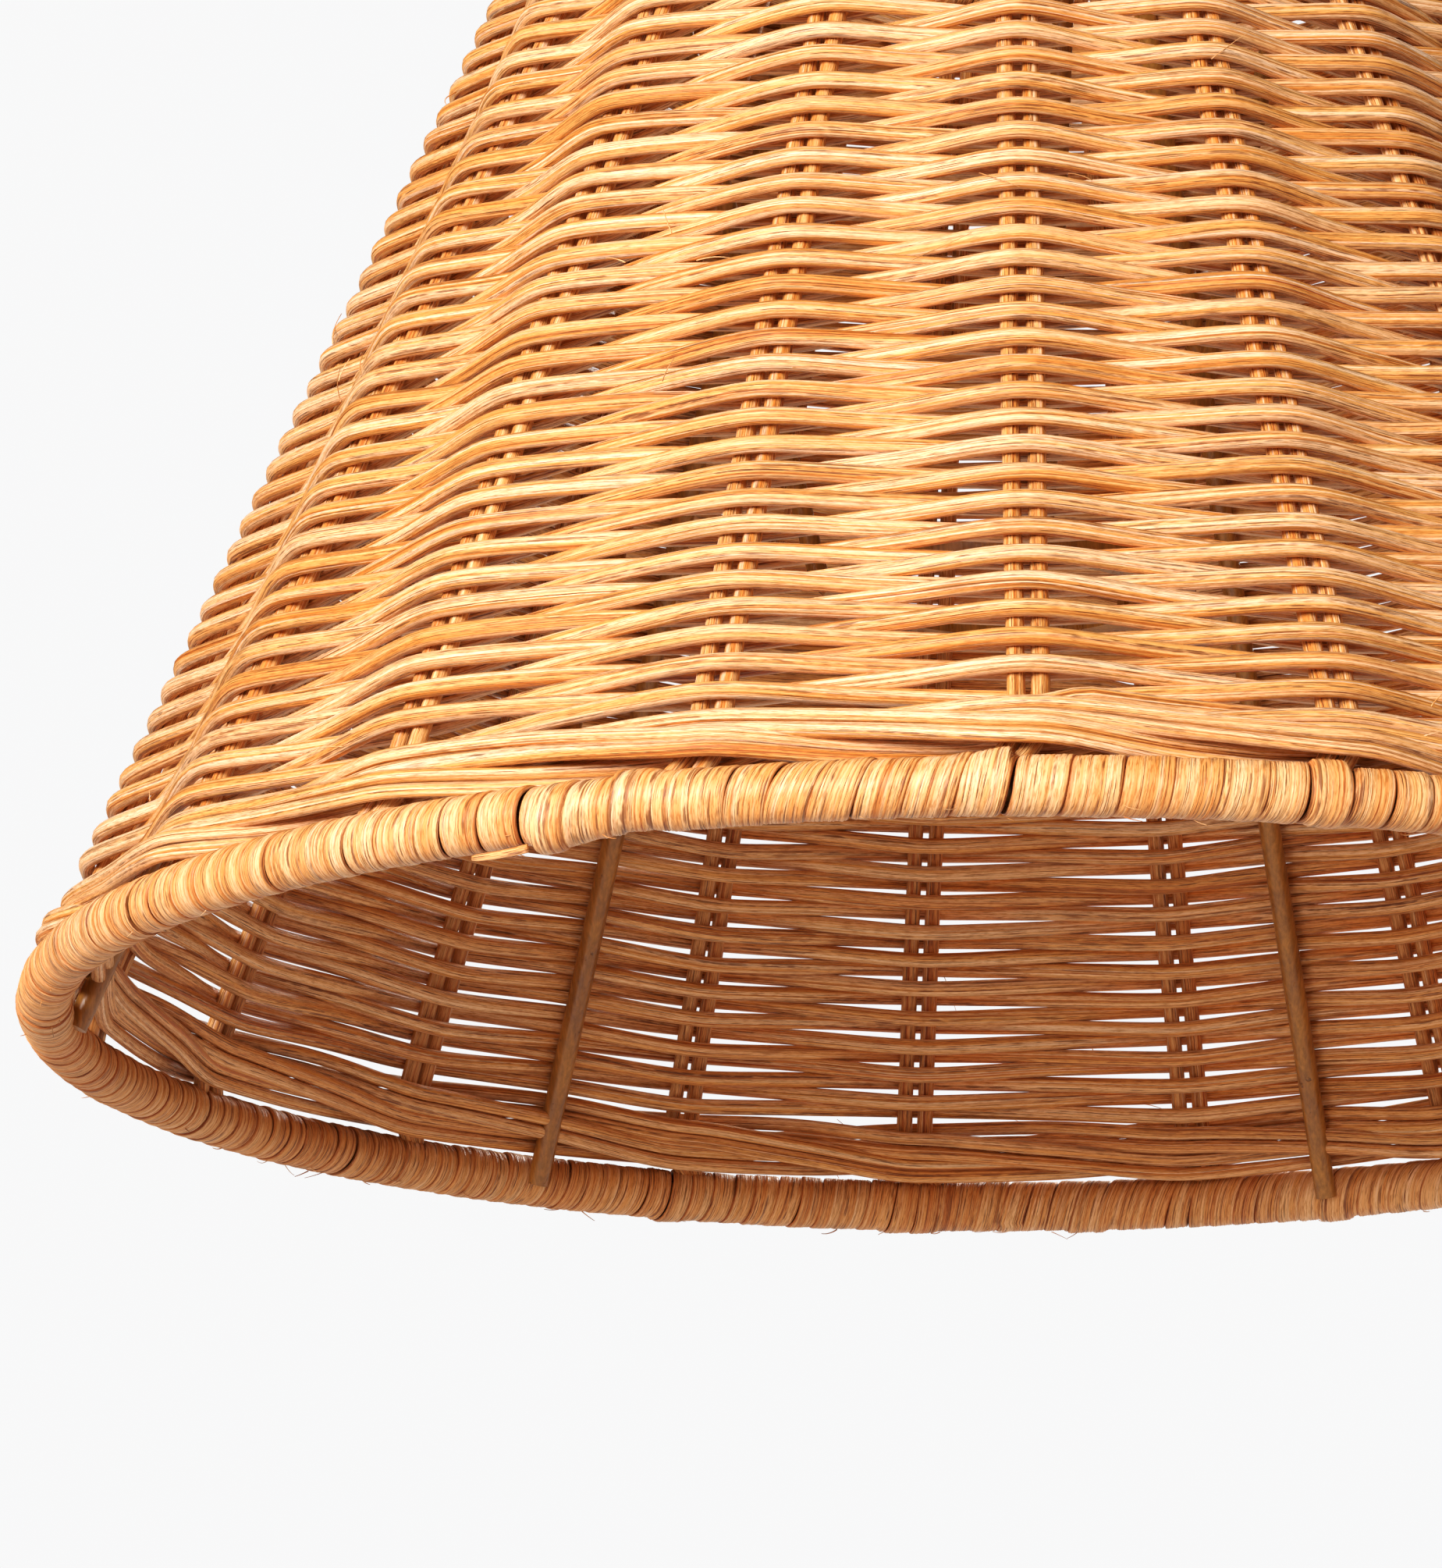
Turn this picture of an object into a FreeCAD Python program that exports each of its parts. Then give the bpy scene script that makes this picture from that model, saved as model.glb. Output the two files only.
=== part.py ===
import FreeCAD, Part

import math
import os

# A conical lamp shade of woven rattan on a wire frame, standing on its rim.
# Millimetres, +Z up, origin at the centre of the rim's lowest plane.
# Angles round the shade are in degrees from -Y, positive towards +X.

# Overall size
rim_diameter = 300.0
top_diameter = 134.0
shade_height = 195.0

# Wound edges: a wire ring and the stake ends, wrapped in flat cane
rim_binding_radius = 4.3
top_binding_radius = 3.8
ring_wire_radius = 1.8
ring_inset = 1.3

# Wire frame inside the weave
rib_radius = 1.75
rib_angles = [45.5, 102.0, 158.5, 213.6, 271.5, 333.0]
rib_end_overrun = 1.5
weld_depth = 0.2

# Fitter: a flat ring for an E27 lamp holder, hung on three bent arms
carrier_bore_radius = 21.0
carrier_outer_radius = 28.5
carrier_thickness = 2.0
carrier_height = 70.0
arm_radius = 1.6
arm_angles = [10.0, 130.0, 250.0]
arm_stub_length = 5.0
arm_foot_start = 30.5
arm_foot_end = 23.0
arm_bend_radius = 6.0

# Weave: round core reeds over 19 pairs of upright stakes, spaced by hand
reed_radius = 1.3
stake_angles = [
    1.0, 18.6, 36.0, 55.0, 74.0, 93.0, 111.5, 130.5, 149.3, 167.8,
    186.7, 203.1, 224.0, 244.0, 261.5, 282.0, 304.0, 322.9, 343.0,
]
stake_half_spacing = 1.7
stake_end_inset = 2.7
wall_mid_radius_at_rim = 145.4
wall_mid_radius_at_top = 63.7
seam_gap = 0.1
rim_wale_height = 7.6
top_wale_height = 6.8

# Derived places
rim_plane = rim_binding_radius
top_plane = shade_height - top_binding_radius
rim_binding_centre = rim_diameter / 2 - rim_binding_radius
top_binding_centre = top_diameter / 2 - top_binding_radius
rim_ring_centre = rim_binding_centre - ring_inset
top_ring_centre = top_binding_centre - ring_inset
wall_slope = (wall_mid_radius_at_rim - wall_mid_radius_at_top) / (top_plane - rim_plane)
wall_tilt = math.atan(wall_slope)
wall_half_thickness = (reed_radius + 2 * reed_radius) / math.cos(wall_tilt)
rim_wale_bottom = 2 * rim_binding_radius + seam_gap
rim_wale_top = rim_wale_bottom + rim_wale_height
top_wale_top = shade_height - 2 * top_binding_radius - seam_gap
top_wale_bottom = top_wale_top - top_wale_height


def place(angle, radius, height, sideways=0.0):
    """The point at an angle round the shade, moved sideways along the tangent."""
    turn = math.radians(angle)
    out = FreeCAD.Vector(math.sin(turn), -math.cos(turn), 0)
    along = FreeCAD.Vector(math.cos(turn), math.sin(turn), 0)
    return out * radius + along * sideways + FreeCAD.Vector(0, 0, height)


def rod(start, end, radius):
    """A round rod between two points."""
    reach = end - start
    return Part.makeCylinder(radius, reach.Length, start, reach)


def ring(centre_radius, height, radius):
    """A round hoop about the shade's axis."""
    return Part.makeTorus(centre_radius, radius, FreeCAD.Vector(0, 0, height))


def wall_radius(height):
    """The radius of the wall's middle surface, where the stakes stand."""
    return wall_mid_radius_at_rim - wall_slope * (height - rim_plane)


def cut_all(solid, tools):
    """The solid with every tool's space taken out of it."""
    return solid.cut(Part.makeCompound(tools))


def polygon(height, offset):
    """A closed outline with one corner at each stake pair."""
    radius = wall_radius(height) + offset
    corners = [place(angle, radius, height) for angle in stake_angles]
    return Part.makePolygon(corners + corners[:1])


def polygon_block(low, high, offset):
    """A tapered block whose corners follow the stakes."""
    return Part.makeLoft([polygon(low, offset), polygon(high, offset)], True, True)


def woven_band(low, high, inner_pieces):
    """A band of the woven wall, open in the middle, round the pieces inside it."""
    outside = polygon_block(low, high, wall_half_thickness)
    inside = polygon_block(low - 1, high + 1, -wall_half_thickness)
    return cut_all(outside.cut(inside), inner_pieces)


def stake_pair(angle):
    """Two reeds side by side, from inside the rim binding to inside the top binding."""
    low = rim_plane + stake_end_inset
    high = top_plane - stake_end_inset
    reeds = []
    for side in (-stake_half_spacing, stake_half_spacing):
        foot = place(angle, wall_radius(low), low, side)
        head = place(angle, wall_radius(high), high, side)
        reeds.append(rod(foot, head, reed_radius))
    return reeds


def weld_radius(ring_centre, wire_radius):
    """Where a wire's axis lies when it is welded to the inside of a ring."""
    return ring_centre - ring_wire_radius - wire_radius + weld_depth


def rib(angle):
    """A straight frame wire from ring to ring, down the inside of the weave."""
    lean = 1 / math.cos(wall_tilt)
    foot_radius = weld_radius(rim_ring_centre, rib_radius * lean)
    head_radius = weld_radius(top_ring_centre, rib_radius * lean)
    foot = place(angle, foot_radius, rim_plane)
    head = place(angle, head_radius, top_plane)
    along = (head - foot).normalize() * rib_end_overrun
    return rod(foot - along, head + along, rib_radius)


def rounded_path(points, bend_radius):
    """Straight runs through the points, joined by tangent arcs."""
    edges = []
    start = points[0]
    for before, corner, after in zip(points, points[1:], points[2:]):
        back = (before - corner).normalize()
        ahead = (after - corner).normalize()
        half_angle = back.getAngle(ahead) / 2
        setback = bend_radius / math.tan(half_angle)
        middle = (back + ahead).normalize()
        depth = bend_radius / math.sin(half_angle) - bend_radius
        arc_start = corner + back * setback
        arc_end = corner + ahead * setback
        edges.append(Part.LineSegment(start, arc_start).toShape())
        edges.append(Part.Arc(arc_start, corner + middle * depth, arc_end).toShape())
        start = arc_end
    edges.append(Part.LineSegment(start, points[-1]).toShape())
    return Part.Wire(edges)


def swept_wire(points, radius, bend_radius):
    """A round wire bent along the points."""
    path = rounded_path(points, bend_radius)
    section = Part.Wire([Part.makeCircle(radius, points[0], points[1] - points[0])])
    return path.makePipeShell([section], True, True)


def fitter_arm(angle):
    """An arm from the top ring down and in to its foot on the carrier ring."""
    head_radius = weld_radius(top_ring_centre, arm_radius)
    foot_height = carrier_height + carrier_thickness + arm_radius - weld_depth / 2
    return swept_wire(
        [
            place(angle, head_radius, top_plane + 1.0),
            place(angle, head_radius, top_plane - arm_stub_length),
            place(angle, arm_foot_start, foot_height),
            place(angle, arm_foot_end, foot_height),
        ],
        arm_radius,
        arm_bend_radius,
    )


def carrier_ring():
    """The flat ring that drops over the lamp holder."""
    base = FreeCAD.Vector(0, 0, carrier_height)
    disc = Part.makeCylinder(carrier_outer_radius, carrier_thickness, base)
    return disc.cut(Part.makeCylinder(carrier_bore_radius, carrier_thickness, base))


rim_ring = ring(rim_ring_centre, rim_plane, ring_wire_radius)
top_ring = ring(top_ring_centre, top_plane, ring_wire_radius)
carrier = carrier_ring()
ribs = [cut_all(rib(angle), [rim_ring, top_ring]) for angle in rib_angles]
arms = [cut_all(fitter_arm(angle), [top_ring, carrier]) for angle in arm_angles]
stake_pairs = [stake_pair(angle) for angle in stake_angles]
stakes = [reed for pair in stake_pairs for reed in pair]

rim_roll = ring(rim_binding_centre, rim_plane, rim_binding_radius)
top_roll = ring(top_binding_centre, top_plane, top_binding_radius)

nodes = {
    "bottom_ring": rim_ring,
    "top_ring": top_ring,
    "carrier_ring": carrier,
    "bottom_binding": cut_all(rim_roll, [rim_ring] + ribs + stakes),
    "top_binding": cut_all(top_roll, [top_ring] + ribs + arms + stakes),
    "bottom_wale": woven_band(rim_wale_bottom, rim_wale_top, ribs + stakes),
    "woven_wall": woven_band(rim_wale_top, top_wale_bottom, ribs + stakes),
    "top_wale": woven_band(top_wale_bottom, top_wale_top, ribs + stakes),
}
for number, solid in enumerate(ribs, 1):
    nodes[f"frame_rib_{number}"] = solid
for number, solid in enumerate(arms, 1):
    nodes[f"fitter_arm_{number}"] = solid
for number, pair in enumerate(stake_pairs, 1):
    nodes[f"stake_pair_{number:02d}"] = Part.makeCompound(pair)

os.makedirs("parts", exist_ok=True)
for name, solid in nodes.items():
    solid.exportStep(f"parts/{name}.step")
    print(name, solid.isValid(), len(solid.Solids), round(solid.Volume / 1000, 2), "cm3")
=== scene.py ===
import math

import bpy
import numpy as np
from mathutils import Matrix, Vector


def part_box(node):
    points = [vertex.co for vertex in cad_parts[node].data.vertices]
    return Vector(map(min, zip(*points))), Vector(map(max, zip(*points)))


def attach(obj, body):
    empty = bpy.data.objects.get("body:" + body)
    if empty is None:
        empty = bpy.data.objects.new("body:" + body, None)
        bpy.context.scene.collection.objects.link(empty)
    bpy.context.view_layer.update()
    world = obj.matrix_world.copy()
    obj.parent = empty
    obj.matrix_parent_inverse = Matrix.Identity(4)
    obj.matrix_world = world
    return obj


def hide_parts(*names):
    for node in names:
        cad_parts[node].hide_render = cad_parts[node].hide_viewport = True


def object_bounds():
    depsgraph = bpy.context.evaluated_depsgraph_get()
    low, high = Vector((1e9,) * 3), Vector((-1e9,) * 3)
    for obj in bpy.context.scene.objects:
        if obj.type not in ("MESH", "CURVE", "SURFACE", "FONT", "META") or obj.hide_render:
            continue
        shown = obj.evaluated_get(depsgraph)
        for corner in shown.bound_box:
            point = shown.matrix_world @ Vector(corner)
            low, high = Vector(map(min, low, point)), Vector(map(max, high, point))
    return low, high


# A conical lamp shade woven from round rattan reeds over a wire frame, hanging as it does on its lamp.
# Metres, +Z up. Angles round the shade are in radians from -Y, positive towards +X, unless a comment
# says degrees. "The front" is -Y.

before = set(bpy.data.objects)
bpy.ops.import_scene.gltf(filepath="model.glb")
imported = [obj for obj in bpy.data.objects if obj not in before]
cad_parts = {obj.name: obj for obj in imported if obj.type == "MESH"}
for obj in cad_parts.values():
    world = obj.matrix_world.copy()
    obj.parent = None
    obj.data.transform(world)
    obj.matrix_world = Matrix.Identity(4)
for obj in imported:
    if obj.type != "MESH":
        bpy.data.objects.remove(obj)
cad_low, cad_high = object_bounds()

MM = 0.001
TURN = 2 * math.pi
UP = np.array([0.0, 0.0, 1.0])

# Reeds
REED_RADIUS = 1.3 * MM
REED_SIDES = 12
REED_FLATNESS = 0.035  # how far a reed's section is from round, as a share of its radius
REED_TWIST = 2.5  # how far the grain turns round a reed, to and fro
LONG_TWIST = 250 * MM  # the length of reed in which it does so

# Where the grain starts on each kind of piece, and how much further on along it the next piece starts, so
# that no two have the same marks
WEAVER_GRAIN_STEP = 9.0
WALE_GRAIN_START, WALE_GRAIN_STEP = 60.0, 2.0
STAKE_GRAIN_START, STAKE_GRAIN_STEP = 117.0, 3.0
CORE_GRAIN_START = 5.0
STRIP_END_GRAIN_START = 3.3
HAIR_GRAIN_STEP = 0.3

# The weave
STEPS_PER_HALF_GAP = 9  # points along a reed from a stake pair to half way to the next
BEND_STIFFNESS = 0.72  # how soon a reed bends away once it has passed a stake pair
LACE_OFFSET = 2.6 * MM  # from the stakes' middle to a weaver passing them
ROW_PITCH = 2.25 * MM  # one turn of the weave, measured upright
WEAVER_PIECES = 12
RIB_CLEARANCE = 1.1 * MM  # how far weavers stand out where a frame rib lies behind them
WALE_REED_RADIUS = {"bottom_wale": 1.12 * MM, "top_wale": 1.02 * MM}
WALE_DROP = {"bottom_wale": 1.95 * MM, "top_wale": 1.70 * MM}  # from a wale's middle to its strands
WALE_OFFSETS = [-2.6 * MM, -3.8 * MM, 2.6 * MM, 3.9 * MM]  # at the four stakes of its rhythm, in turn
WALE_START = 17  # the number, from 0, of the stake pair where a wale's first strand starts
STAKE_STEPS = 90  # points along a stake
STAKE_LEAN_HEIGHT = 8 * MM  # the foot of a stake, which leans over into the rim

# Wound edges
STRIP_FIBRES = 11
STRIP_STEPS = 30  # round one turn of the winding
STRIP_OVERLAP = 1.05  # a turn's width over its share of the edge
STRIP_THICKNESS = 0.75 * MM
GRAIN_WIDTH = 5.2 * MM  # the width over which the grain is laid, on every turn
CORE_STEPS = 400  # points round the core
CORE_INSET = 1.5 * MM  # from the roll's surface to the core's
TOP_WIDTH = 4.6 * MM
TOP_LEAN = -0.2 * MM

# The cut end of the cane under the rim
STRIP_END_ANGLE = math.radians(-26.6)
STRIP_END_LENGTH = 8.5 * MM
STRIP_END_HALF_WIDTH = 0.62 * MM

# Stray fibres
WALL_HAIRS = 110
RIM_HAIRS = 70

# The rim's swollen turns. Each has four angles in degrees from the front, where the rise starts, is full,
# is still full and is gone, then the rise on the roll's upper side, then the rise on its lower side.
RIM_SWELLINGS = [
    ((-26.4, -26.1, -25.4, -22.6), 0.0, 1.4 * MM),
    ((-21.3, -21.1, -19.6, -18.2), 0.8 * MM, -0.4 * MM),
    ((-3.2, -0.5, 0.0, 0.15), 1.2 * MM, 0.0),
    ((15.8, 16.1, 17.7, 18.0), 0.8 * MM, 0.3 * MM),
    ((157.3, 157.6, 159.4, 159.6), 0.0, 0.5 * MM),
    ((173.8, 174.2, 176.5, 176.7), 0.0, 0.4 * MM),
    ((-175.0, -174.6, -171.2, -171.0), 0.0, 0.4 * MM),
    ((-157.8, -157.4, -155.7, -155.5), 0.0, 0.5 * MM),
]

# Where turns of the winding stand apart: the angle in degrees from the front, and the opening in
# millimetres. The first is also the seam, where the strip starts and ends. An opening of 0 only fixes
# where a turn ends.
RIM_GAPS = [
    (189.0, 0.4), (204.5, 0.5), (229.5, 0.5), (236.0, 0.4), (303.0, 0.3), (330.9, 0.1), (333.5, 0.6),
    (336.0, 0.0), (338.8, 0.1), (341.1, 0.0), (345.1, 0.1), (347.5, 0.0), (349.9, 0.1), (352.2, 0.0),
    (354.8, 0.0), (357.4, 0.0), (0.15, 0.55), (3.05, 0.05), (5.9, 0.45), (8.4, 0.05), (11.0, 0.1),
    (13.4, 0.1), (15.7, 0.5), (18.05, 0.15), (20.45, 0.5), (159.6, 0.4), (176.7, 0.4),
]
TOP_GAPS = [(186.0, 0.3), (233.0, 0.5), (63.0, 0.5)]

# Colours of rattan, from its pale skin to the dark in its pores
STRAW = (0.97, 0.68, 0.44)
HONEY = (0.88, 0.490, 0.165)
AMBER = (0.63, 0.242, 0.046)
BARK = (0.20, 0.055, 0.012)
WHITE = (1.0, 1.0, 1.0)

# The room
LIGHT_FROM_BELOW = (0.61, 0.435, 0.295, 1.0)
LIGHT_FROM_ABOVE = (0.21, 0.165, 0.105, 1.0)
BACKGROUND = (0.94, 0.94, 0.943, 1.0)
FLOOR_HEIGHT = -0.55
FLOOR_HALF_SIZE = 12.0

# The camera: low in front of the shade, looking up at its rim. Its three turns are in degrees.
CAMERA_PLACE = Vector((0.0, -1.2474, -0.2706))
CAMERA_AZIMUTH = 92.024
CAMERA_ELEVATION = 14.026
CAMERA_ROLL = 0.137
CAMERA_LENS = 194.1
SENSOR_WIDTH = 36.0

# The picture's tone curve: shadows a little deeper, the rest as it is
SHADOW_CURVE = [(0.06, 0.043), (0.20, 0.182), (0.50, 0.50)]


# ---------------------------------------------------------------- places read from the CAD model


def node_points(name):
    return np.array([v.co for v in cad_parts[name].data.vertices], float)


def ends(name):
    """The middles of a straight piece's lower and upper ends."""
    points = node_points(name)
    low, high = points[:, 2].min(), points[:, 2].max()
    upper = points[:, 2] > (low + high) / 2
    return points[~upper].mean(0), points[upper].mean(0)


def angle_of(point):
    return math.atan2(point[0], -point[1]) % TURN


def out_from(angle):
    """The level direction away from the axis."""
    angle = np.asarray(angle, float)
    return np.stack([np.sin(angle), -np.cos(angle), np.zeros_like(angle)], -1)


def round_from(angle):
    """The level direction round the shade, towards larger angles."""
    angle = np.asarray(angle, float)
    return np.stack([np.cos(angle), np.sin(angle), np.zeros_like(angle)], -1)


def degrees_from_front(angle):
    """An angle in degrees, from -180 to 180, with 0 at the front."""
    return (np.degrees(angle) + 180) % 360 - 180


STAKES = sorted(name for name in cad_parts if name.startswith("stake_pair_"))
RIBS = sorted(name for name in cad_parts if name.startswith("frame_rib_"))
COUNT = len(STAKES)

stake_ends = [ends(name) for name in STAKES]
stake_angles = np.array([angle_of(foot) for foot, head in stake_ends])

foot_radius = np.mean([math.hypot(*foot[:2]) for foot, head in stake_ends])
head_radius = np.mean([math.hypot(*head[:2]) for foot, head in stake_ends])
foot_height = np.mean([foot[2] for foot, head in stake_ends])
head_height = np.mean([head[2] for foot, head in stake_ends])
SLOPE = (foot_radius - head_radius) / (head_height - foot_height)
TILT = math.atan(SLOPE)


def wall_radius(height):
    """The radius of the wall's middle surface, in which the stakes stand."""
    return foot_radius - SLOPE * (height - foot_height)


def wall_normal(angle):
    """The direction straight out of the wall."""
    return out_from(angle) * math.cos(TILT) + UP * math.sin(TILT)


def wall_point(angle, height, offset):
    """A point off the wall's middle surface, by offset along its normal."""
    height = np.asarray(height, float)[..., None]
    offset = np.asarray(offset, float)[..., None]
    return out_from(angle) * wall_radius(height) + UP * height + wall_normal(angle) * offset


def normals_at(path):
    """The wall's normal at each point of a path."""
    return wall_normal(np.arctan2(path[:, 0], -path[:, 1]))


def gap_of(angle):
    """The number of the gap between stakes that holds an angle."""
    return int(np.searchsorted(stake_angles, angle) - 1) % COUNT


rib_gaps = sorted({gap_of(angle_of(ends(name)[0])) for name in RIBS})


# ---------------------------------------------------------------- paths and random runs


def smooth(share):
    """Eases 0 to 1 in and out."""
    return share * share * (3 - 2 * share)


def wander(rng, distance, reach):
    """A smooth random run, about -1 to 1, that changes over each reach of the distance."""
    distance = np.asarray(distance, float)
    start = distance.min()
    knots = rng.uniform(-1, 1, int((distance.max() - start) / reach) + 3)
    place = (distance - start) / reach
    index = place.astype(int)
    blend = smooth(place - index)
    return knots[index] * (1 - blend) + knots[index + 1] * blend


def unit(vectors):
    return vectors / np.linalg.norm(vectors, axis=-1, keepdims=True)


def lengths(path):
    """The distance along a path at each of its points."""
    return np.concatenate([[0], np.cumsum(np.linalg.norm(np.diff(path, axis=0), axis=1))])


def cross_axes(path, normal):
    """The two directions across a path at each point: sideways, then nearest to the normal."""
    ahead = unit(np.gradient(path, axis=0))
    side = unit(np.cross(ahead, normal))
    return side, np.cross(side, ahead)


# ---------------------------------------------------------------- meshes of closed tubes
#
# A band is one tube, as (rings, grain): n sections of m points, and as many grain coordinates.


def tube(path, normal, radius, rng, start):
    """The band of one reed. Its grain coordinates run along it from start, then across its section."""
    distance = lengths(path)
    side, up = cross_axes(path, normal)
    around = np.linspace(0, TURN, REED_SIDES, endpoint=False)
    oval = wander(rng, distance, 50 * MM)[:, None] * 3
    third = wander(rng, distance, 70 * MM)[:, None] * 3
    thick = 1 + 0.04 * wander(rng, distance, 30 * MM) + 0.02 * wander(rng, distance, 8 * MM)
    uneven = 1 + REED_FLATNESS * (np.cos(2 * (around - oval)) + 0.5 * np.cos(3 * around + third))
    spread = (radius * thick)[:, None] * uneven
    across = np.cos(around)[None, :, None] * up[:, None] + np.sin(around)[None, :, None] * side[:, None]
    rings = path[:, None] + across * spread[..., None]
    spin = around[None] + REED_TWIST * wander(rng, distance, LONG_TWIST)[:, None]
    run = np.broadcast_to((distance + start)[:, None], spin.shape)
    return rings, np.stack([run, np.cos(spin) * radius, np.sin(spin) * radius], -1)


def wall_faces(bands):
    """The faces round the tubes, each as the numbers of its four points."""
    faces = []
    base = 0
    for rings, grain in bands:
        count, sides = rings.shape[:2]
        i = np.arange(count - 1)[:, None]
        j = np.arange(sides)[None]
        after = (j + 1) % sides
        corners = (i * sides + j, i * sides + after, (i + 1) * sides + after, (i + 1) * sides + j)
        faces.append(base + np.stack(np.broadcast_arrays(*corners), -1).reshape(-1, 4))
        base += count * sides
    return np.concatenate(faces)


def end_faces(bands):
    """The faces that close the tubes' two ends."""
    caps = []
    base = 0
    for rings, grain in bands:
        count, sides = rings.shape[:2]
        caps.append(np.arange(sides)[::-1] + base)
        caps.append(np.arange(sides) + base + (count - 1) * sides)
        base += count * sides
    return caps


def flat_layout(bands, caps):
    """Where each face's corners lie on a flat square, with no two faces on the same spot.

    The tubes are unrolled one after another and cut into strips that lie in rows. The end faces have
    the last row.
    """
    spans = sum(len(rings) - 1 for rings, grain in bands)
    girth = np.mean([lengths(rings[0])[-1] for rings, grain in bands])
    length = sum(lengths(rings[:, 0])[-1] for rings, grain in bands)
    strips = max(2, int(math.sqrt(length / girth) * 0.95))
    per_strip = -(-spans // strips)
    margin = 0.04
    filled = 1 - 2 * margin
    spots = []
    done = 0
    for rings, grain in bands:
        count, sides = len(rings) - 1, rings.shape[1]
        row, place = np.divmod(np.arange(done, done + count)[:, None], per_strip)
        j = np.arange(sides)[None]
        left = np.broadcast_to(place / per_strip, (count, sides))
        right = np.broadcast_to((place + 1) / per_strip, (count, sides))
        low = (row + margin + filled * j / sides) / (strips + 1)
        high = (row + margin + filled * (j + 1) / sides) / (strips + 1)
        corners = [(left, low), (left, high), (right, high), (right, low)]
        spots.append(np.stack([np.stack(corner, -1) for corner in corners], -2).reshape(-1, 2))
        done += count
    for number, cap in enumerate(caps):
        turn = np.linspace(0, TURN, len(cap), endpoint=False)
        centre = np.array([(number + 0.5) / len(caps), (strips + 0.5) / (strips + 1)])
        reach = np.array([0.3 / len(caps), 0.3 / (strips + 1)])
        spots.append(centre + np.stack([np.cos(turn), np.sin(turn)], -1) * reach)
    return np.concatenate(spots)


def tube_mesh(name, bands):
    """One mesh of closed tubes, with its grain coordinates and a layout for baked colours."""
    points = np.concatenate([rings.reshape(-1, 3) for rings, grain in bands])
    grains = np.concatenate([grain.reshape(-1, 3) for rings, grain in bands])
    quads = wall_faces(bands)
    caps = end_faces(bands)
    corners = np.concatenate([quads.reshape(-1)] + caps)
    totals = np.concatenate([np.full(len(quads), 4), [len(cap) for cap in caps]])
    starts = np.concatenate([[0], np.cumsum(totals)[:-1]])

    mesh = bpy.data.meshes.new(name)
    mesh.vertices.add(len(points))
    mesh.vertices.foreach_set("co", points.astype(np.float32).ravel())
    mesh.loops.add(len(corners))
    mesh.loops.foreach_set("vertex_index", corners.astype(np.int32))
    mesh.polygons.add(len(totals))
    mesh.polygons.foreach_set("loop_start", starts.astype(np.int32))
    mesh.polygons.foreach_set("use_smooth", np.arange(len(totals)) < len(quads))
    mesh.update(calc_edges=True)
    layout = mesh.uv_layers.new(name="OFBake")
    layout.data.foreach_set("uv", flat_layout(bands, caps).astype(np.float32).ravel())
    attribute = mesh.attributes.new("grain", "FLOAT_VECTOR", "POINT")
    attribute.data.foreach_set("vector", grains.astype(np.float32).ravel())
    mesh.validate()
    return mesh


def add_piece(name, bands, material, replaced=None):
    """One object of closed tubes, in place of the CAD node it replaces, if any."""
    mesh = tube_mesh(name, bands)
    mesh.materials.append(material)
    piece = bpy.data.objects.new(name, mesh)
    bpy.context.scene.collection.objects.link(piece)
    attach(piece, "root")
    if replaced:
        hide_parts(replaced)


# ---------------------------------------------------------------- the weave


def curved(keys, heads, shares, steps):
    """A smooth path through key points, with the direction and the stiffness given at each."""
    step = np.linspace(0, 1, steps, endpoint=False)[None, :, None]
    start, end = keys[:-1, None], keys[1:, None]
    span = np.linalg.norm(end - start, axis=-1, keepdims=True)
    leave = heads[:-1, None] * span * shares[:-1, None, None]
    arrive = heads[1:, None] * span * shares[1:, None, None]
    path = (
        (2 * step**3 - 3 * step**2 + 1) * start
        + (step**3 - 2 * step**2 + step) * leave
        + (3 * step**2 - 2 * step**3) * end
        + (step**3 - step**2) * arrive
    )
    return np.concatenate([path.reshape(-1, 3), keys[-1:]])


def laced(stations, heights, offsets, mid_lifts, mid_offsets):
    """A path past the stakes numbered in stations, which may run on past the last one round.

    Heights and offsets are given at each stake. Half way to the next, the path is moved by a lift and
    an offset more. The wall's normals along the path come with it.
    """
    angles = stake_angles[stations % COUNT] + TURN * (stations // COUNT)
    passing = wall_point(angles, heights, offsets)
    middle = (passing[:-1] + passing[1:]) / 2
    half_way = (angles[:-1] + angles[1:]) / 2
    pushed = np.isin(stations[:-1] % COUNT, rib_gaps) * RIB_CLEARANCE
    middle += wall_normal(half_way) * (mid_offsets + pushed)[:, None] + UP * mid_lifts[:, None]
    keys = np.empty((len(stations) * 2 - 1, 3))
    keys[0::2] = passing
    keys[1::2] = middle
    heads = np.empty_like(keys)
    heads[0::2] = round_from(angles)
    heads[1::2] = unit(passing[1:] - passing[:-1])
    shares = np.full(len(keys), 1.0)
    shares[0::2] = BEND_STIFFNESS
    path = curved(keys, heads, shares, STEPS_PER_HALF_GAP)
    return path, normals_at(path)


def tuck_ends(path, normal, inward, along):
    """Lays a reed's two ends against the inside of the wall, one above and one below the next reed's."""
    distance = lengths(path)
    for run, lift in ((distance, -1), (distance[-1] - distance, 1)):
        ramp = smooth(np.clip(1 - run / along, 0, 1))[:, None]
        path = path - normal * ramp * inward + UP * ramp * lift * REED_RADIUS * 0.9
    return path


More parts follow.
